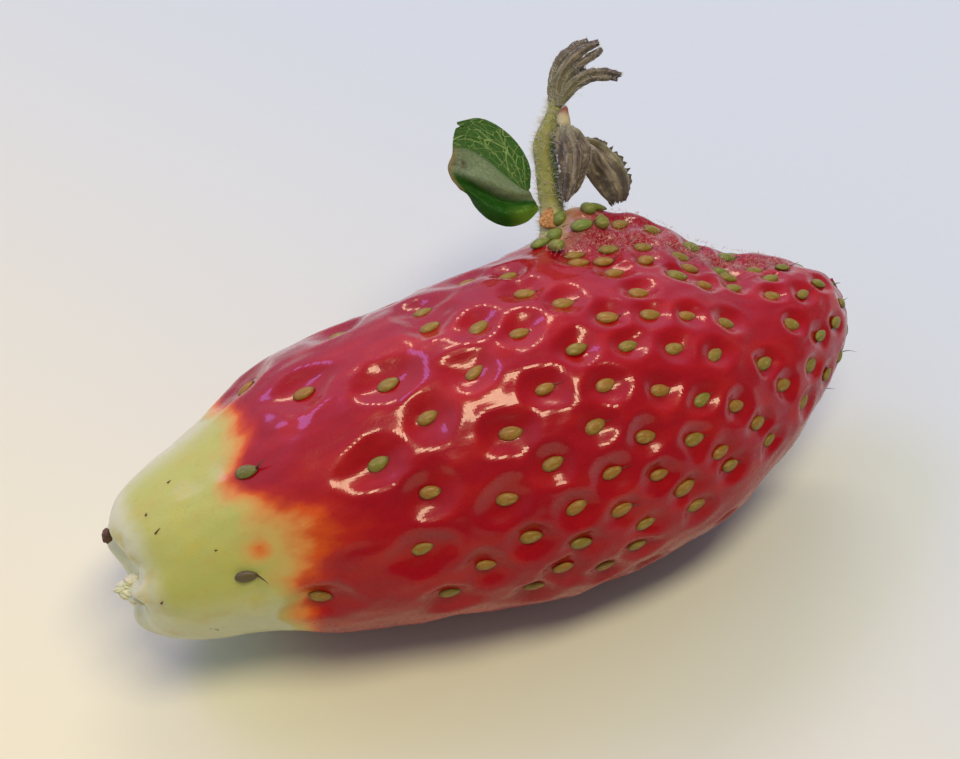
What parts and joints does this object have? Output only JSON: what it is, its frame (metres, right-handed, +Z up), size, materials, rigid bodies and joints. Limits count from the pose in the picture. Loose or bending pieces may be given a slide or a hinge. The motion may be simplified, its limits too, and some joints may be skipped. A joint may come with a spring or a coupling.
{
  "type": "strawberry",
  "caption": "A long picked strawberry lying on its belly: glossy red flesh set with seed-like achenes, a pale torn neck and a small leafy shoot growing from its shoulder.",
  "frame": {"origin": "centre of the small flat spot on the belly that the fruit lies on", "axes": "+X along the fruit from the torn neck to the blunt tip, +Z up, +Y towards the back where the leafy shoot leans"},
  "size_m": [0.0482, 0.0267, 0.023],
  "materials": {
    "flesh": "glossy wet-looking skin, deep red, fading through orange to a pale green neck",
    "achene": "satin olive-brown seed coat, greener at the tip",
    "stem": "soft hairy olive green",
    "green_leaf": "satin green leaf with pale veins",
    "dry_leaf": "withered, matt grey-brown and hairy",
    "bud": "pale cream with a brown rim",
    "bract": "dry orange-brown"
  },
  "bodies": {
    "root": {"bract": "bract", "crest_achene_01": "achene", "crest_achene_02": "achene", "crest_achene_03": "achene", "crest_achene_04": "achene", "crest_achene_05": "achene", "crest_achene_06": "achene", "crest_achene_07": "achene", "crest_achene_08": "achene", "crest_achene_09": "achene", "crest_achene_10": "achene", "crest_achene_11": "achene", "crest_achene_12": "achene", "crest_achene_13": "achene", "crest_achene_14": "achene", "crest_achene_15": "achene", "crest_achene_16": "achene", "crest_achene_17": "achene", "crest_achene_18": "achene", "crest_achene_19": "achene", "flesh": "flesh", "flower_bud": "bud", "foot_achene_1": "achene", "foot_achene_2": "achene", "foot_achene_3": "achene", "foot_achene_4": "achene", "foot_achene_5": "achene", "front_leaflet": "dry_leaf", "green_leaflet": "green_leaf", "neck_achene_1": "achene", "neck_achene_2": "achene", "shoot_stem": "stem", "side_leaflet": "dry_leaf", "tip_achene_01": "achene", "tip_achene_02": "achene", "tip_achene_03": "achene", "tip_achene_04": "achene", "tip_achene_05": "achene", "tip_achene_06": "achene", "tip_achene_07": "achene", "tip_achene_08": "achene", "tip_achene_09": "achene", "tip_achene_10": "achene", "tip_achene_11": "achene", "tip_achene_12": "achene", "tip_achene_13": "achene", "tip_achene_14": "achene", "tip_achene_15": "achene", "tip_achene_16": "achene", "tip_achene_17": "achene", "tip_achene_18": "achene", "tip_achene_19": "achene", "tip_achene_20": "achene", "tip_achene_21": "achene", "upper_leaf": "dry_leaf"}
  },
  "joints": []
}
